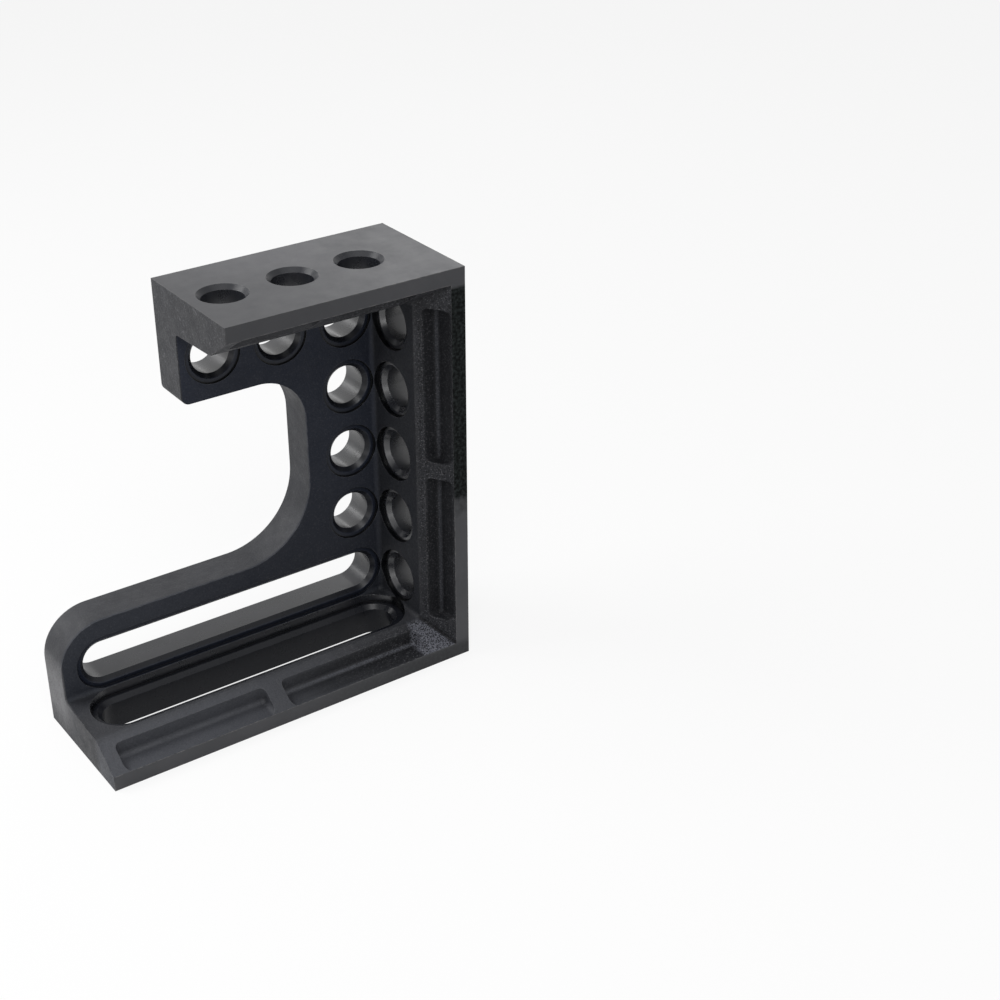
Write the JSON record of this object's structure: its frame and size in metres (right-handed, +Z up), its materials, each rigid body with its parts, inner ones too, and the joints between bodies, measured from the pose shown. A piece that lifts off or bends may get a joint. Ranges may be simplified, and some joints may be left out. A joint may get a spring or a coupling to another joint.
{
  "type": "angle plate",
  "caption": "C-shaped cast angle plate for a fixturing table: bores and long slots on a common grid bolt work and stops to any of its faces.",
  "frame": {"origin": "middle of the base's footprint, on its underside", "axes": "+Z up the upright flange, +X from the open end towards the upright flange, +Y from the open front towards the web"},
  "size_m": [0.28, 0.1, 0.3],
  "materials": {
    "blackened_casting": "blackened, satin"
  },
  "bodies": {
    "root": {"angle_plate": "blackened_casting"}
  },
  "joints": []
}
